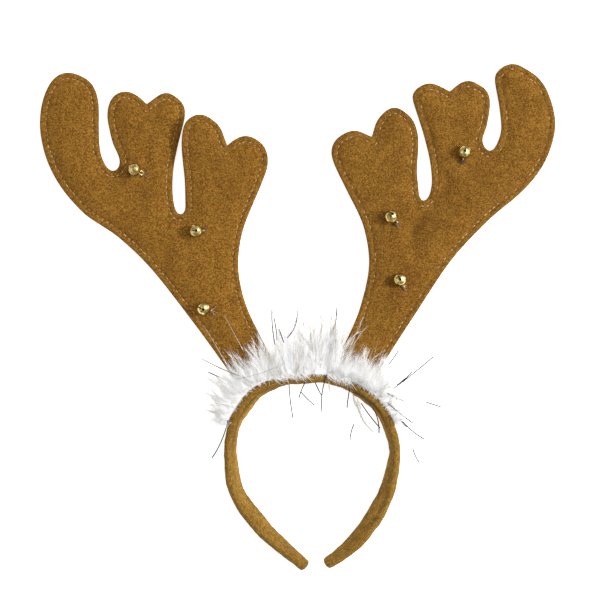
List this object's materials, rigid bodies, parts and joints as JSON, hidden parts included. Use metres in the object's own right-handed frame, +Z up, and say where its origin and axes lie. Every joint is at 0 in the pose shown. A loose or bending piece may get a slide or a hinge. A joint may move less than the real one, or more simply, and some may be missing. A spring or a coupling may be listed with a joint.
{
  "type": "reindeer antler headband",
  "caption": "Costume headband: a padded springy hoop that carries two flat felt antlers with jingle bells, and a feather trim along its crown.",
  "frame": {"origin": "centre of the bounding box, at the level of the table that the headband lies on", "axes": "+Z up from the table through the antlers' front, +Y from the nape ends of the hoop to the antler tips, +X to the right as seen from the front"},
  "size_m": [0.386, 0.38, 0.0231],
  "materials": {
    "felt": "brushed polyester felt, matt, mottled brown",
    "plush": "short brown plush drawn over padding",
    "marabou": "white down feather, matt",
    "brass": "pressed and polished sheet",
    "steel": "small ball, dull",
    "thread": "tan and brown sewing thread",
    "tinsel": "thin silver film strands"
  },
  "bodies": {
    "root": {"headband": "plush", "antler_left_front": "felt", "antler_left_back": "felt", "antler_right_front": "felt", "antler_right_back": "felt", "marabou_trim": "marabou", "bell_left_tine": "brass", "bell_left_palm": "brass", "bell_left_stem": "brass", "bell_right_tine": "brass", "bell_right_palm": "brass", "bell_right_stem": "brass", "pellet_left_tine": "steel", "pellet_left_palm": "steel", "pellet_left_stem": "steel", "pellet_right_tine": "steel", "pellet_right_palm": "steel", "pellet_right_stem": "steel"}
  },
  "joints": []
}
